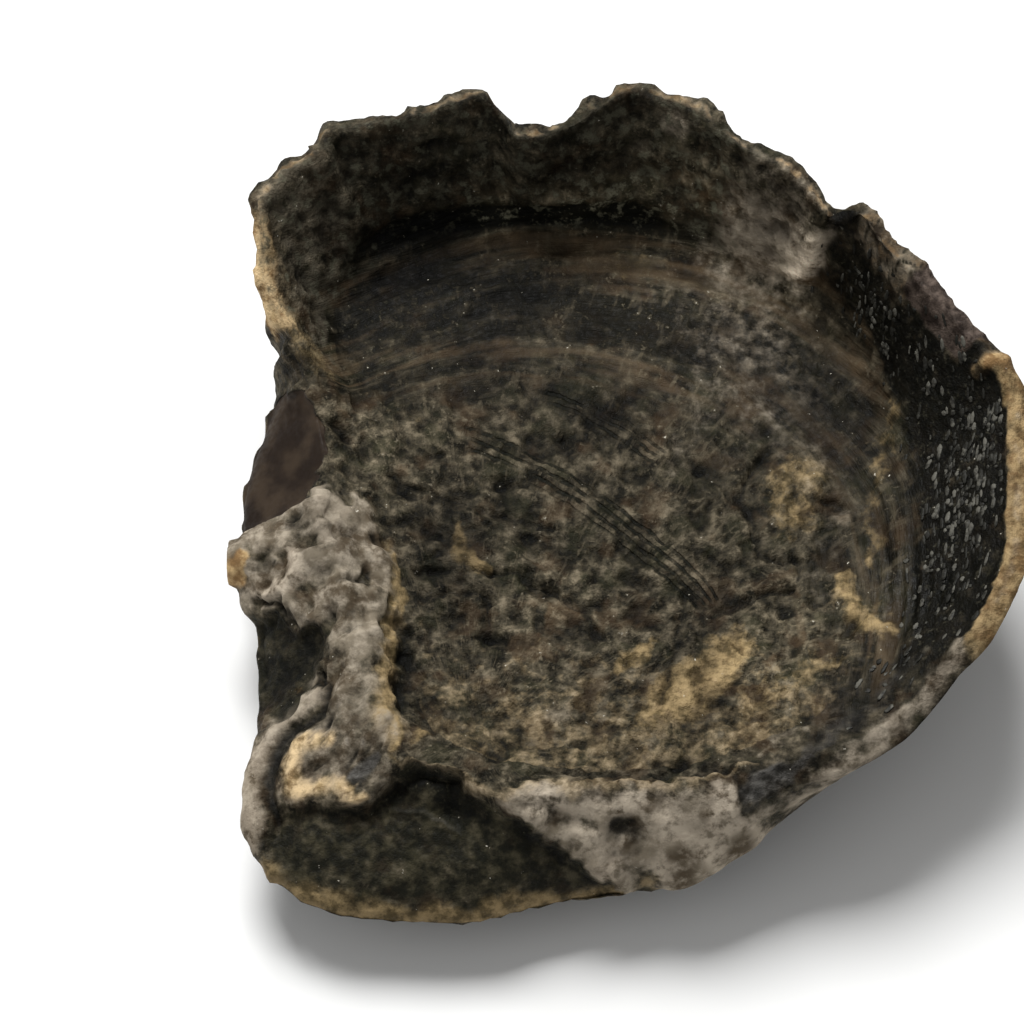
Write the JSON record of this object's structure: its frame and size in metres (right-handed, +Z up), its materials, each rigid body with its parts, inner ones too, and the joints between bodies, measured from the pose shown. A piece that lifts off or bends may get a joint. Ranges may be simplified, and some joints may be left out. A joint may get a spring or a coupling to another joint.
{
  "type": "brachiopod fossil",
  "caption": "Loose dish-shaped fossil valve of a large shell, lying hollow side up, with a tall far rim, a broken hinge edge and a swollen beak.",
  "frame": {"origin": "on the ground, under the middle of the box around the fossil", "axes": "+Z up out of the hollow, +Y towards the tall far rim, the hinge edge faces -Y"},
  "size_m": [0.0718, 0.0754, 0.0275],
  "materials": {
    "fossil_stone": "rough dark stone with polished patches"
  },
  "bodies": {
    "root": {"fossil_shell": "fossil_stone"}
  },
  "joints": []
}
